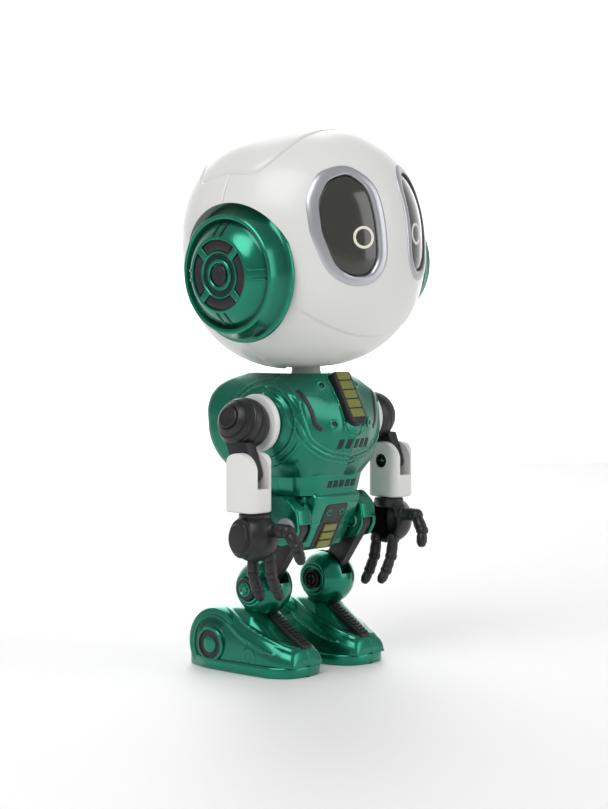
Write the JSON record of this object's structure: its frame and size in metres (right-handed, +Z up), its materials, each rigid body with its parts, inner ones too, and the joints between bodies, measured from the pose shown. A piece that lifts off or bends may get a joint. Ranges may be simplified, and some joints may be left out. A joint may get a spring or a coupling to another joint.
{
  "type": "posable toy robot",
  "caption": "Small posable toy robot with a large round head, drum ears, oval eyes, a die-cast body, jointed arms with cupped hands, and big shoes.",
  "frame": {"origin": "on the ground, under the middle of the bounding box", "axes": "+Z up, the robot faces -Y, its left side is +X"},
  "size_m": [0.0589, 0.0529, 0.1184],
  "materials": {
    "green_lacquer": "die-cast zinc under transparent green metallic lacquer, glossy",
    "white_plastic": "injection-moulded white ABS, satin gloss",
    "black_plastic": "injection-moulded black ABS, satin gloss",
    "grey_plastic": "light grey moulded plastic",
    "olive_plastic": "olive translucent plastic bars, satin",
    "silver_bezel": "vacuum-metallised plastic under matt lacquer",
    "smoked_lens": "smoked acrylic, polished",
    "cream_ring": "cream translucent moulded ring",
    "led_epoxy": "clear epoxy lamp bodies",
    "dark_screw_steel": "black-oxide steel screws and pins",
    "nickel_steel": "nickel-plated steel cell cans",
    "board": "glass-fibre circuit board with solder mask",
    "speaker_cone": "stamped frame and paper cone"
  },
  "bodies": {
    "torso": {"torso_front_shell": "green_lacquer", "torso_rear_shell": "green_lacquer", "chest_strip": "black_plastic", "chest_bars": "olive_plastic", "chest_rivets": "green_lacquer", "chest_inlays": "black_plastic", "pelvis_panel": "black_plastic", "pelvis_bars": "olive_plastic", "pelvis_rivets": "green_lacquer", "battery_door": "green_lacquer", "battery_door_screw": "dark_screw_steel", "battery_case": "black_plastic", "button_cells": "nickel_steel", "circuit_board": "board", "speaker": "speaker_cone", "torso_screws": "dark_screw_steel", "hip_pin_left": "grey_plastic", "hip_pin_right": "grey_plastic"},
    "switch": {"power_switch": "black_plastic"},
    "collar": {"neck_collar": "white_plastic"},
    "neck": {"neck_ball": "white_plastic", "neck_pin": "dark_screw_steel"},
    "head": {"head_front_shell": "white_plastic", "head_rear_shell": "white_plastic", "head_crown_panel": "white_plastic", "head_chassis": "white_plastic", "head_screws": "dark_screw_steel", "ear_left": "green_lacquer", "ear_right": "green_lacquer", "ear_inlay_left": "black_plastic", "ear_inlay_right": "black_plastic", "eye_bezel_left": "silver_bezel", "eye_bezel_right": "silver_bezel", "eye_lens_left": "smoked_lens", "eye_lens_right": "smoked_lens", "eye_ring_left": "cream_ring", "eye_ring_right": "cream_ring", "eye_leds": "led_epoxy"},
    "arm_left": {"upper_arm_left": "black_plastic", "shoulder_disc_left": "white_plastic"},
    "forearm_left": {"forearm_left": "white_plastic", "elbow_screw_left": "dark_screw_steel"},
    "hand_left": {"hand_left": "black_plastic"},
    "leg_left": {"leg_link_left": "black_plastic"},
    "foot_left": {"foot_outer_half_left": "green_lacquer", "foot_inner_half_left": "green_lacquer", "knee_screw_left": "dark_screw_steel", "knee_cap_left": "black_plastic", "foot_tread_left": "black_plastic"},
    "arm_right": {"upper_arm_right": "black_plastic", "shoulder_disc_right": "white_plastic"},
    "forearm_right": {"forearm_right": "white_plastic", "elbow_screw_right": "dark_screw_steel"},
    "hand_right": {"hand_right": "black_plastic"},
    "leg_right": {"leg_link_right": "black_plastic"},
    "foot_right": {"foot_outer_half_right": "green_lacquer", "foot_inner_half_right": "green_lacquer", "knee_screw_right": "dark_screw_steel", "knee_cap_right": "black_plastic", "foot_tread_right": "black_plastic"}
  },
  "joints": [
    {"name": "head_turn", "type": "hinge", "parent": "torso", "child": "collar", "pos_m": [0, 0, 0.064], "axis": [0, 0, 1], "range_deg": [-75, 75]},
    {"name": "head_nod", "type": "hinge", "parent": "collar", "child": "neck", "pos_m": [0, 0, 0.08], "axis": [1, 0, 0], "range_deg": [-7, 7]},
    {"name": "head_tilt", "type": "hinge", "parent": "neck", "child": "head", "pos_m": [0, 0, 0.08], "axis": [0, 1, 0], "range_deg": [-3, 9]},
    {"name": "shoulder_left", "type": "hinge", "parent": "torso", "child": "arm_left", "pos_m": [0.0211, -0.0011, 0.0542], "axis": [-1, 0, 0], "range_deg": [0, 100]},
    {"name": "elbow_left", "type": "hinge", "parent": "arm_left", "child": "forearm_left", "pos_m": [0.02355, -0.0048, 0.0442], "axis": [1, 0, 0], "range_deg": [-90, 0]},
    {"name": "wrist_left", "type": "hinge", "parent": "forearm_left", "child": "hand_left", "pos_m": [0.0223, -0.0053, 0.036], "axis": [0, 0, 1], "range_deg": [-30, 90]},
    {"name": "hip_left", "type": "hinge", "parent": "torso", "child": "leg_left", "pos_m": [0.0105, -0.0062, 0.0318], "axis": [-1, 0, 0], "range_deg": [-18, 0]},
    {"name": "ankle_left", "type": "hinge", "parent": "leg_left", "child": "foot_left", "pos_m": [0.0105, 0.0029, 0.0182], "axis": [-1, 0, 0], "range_deg": [-14, 12]},
    {"name": "shoulder_right", "type": "hinge", "parent": "torso", "child": "arm_right", "pos_m": [-0.0211, -0.0011, 0.0542], "axis": [-1, 0, 0], "range_deg": [0, 100]},
    {"name": "elbow_right", "type": "hinge", "parent": "arm_right", "child": "forearm_right", "pos_m": [-0.02355, -0.0048, 0.0442], "axis": [1, 0, 0], "range_deg": [-90, 0]},
    {"name": "wrist_right", "type": "hinge", "parent": "forearm_right", "child": "hand_right", "pos_m": [-0.0223, -0.0053, 0.036], "axis": [0, 0, -1], "range_deg": [-30, 90]},
    {"name": "hip_right", "type": "hinge", "parent": "torso", "child": "leg_right", "pos_m": [-0.0105, -0.0062, 0.0318], "axis": [-1, 0, 0], "range_deg": [-18, 0]},
    {"name": "ankle_right", "type": "hinge", "parent": "leg_right", "child": "foot_right", "pos_m": [-0.0105, 0.0029, 0.0182], "axis": [-1, 0, 0], "range_deg": [-14, 12]},
    {"name": "power_switch_slide", "type": "slide", "parent": "torso", "child": "switch", "axis": [1, 0, 0], "range_m": [0, 0.0014]}
  ]
}
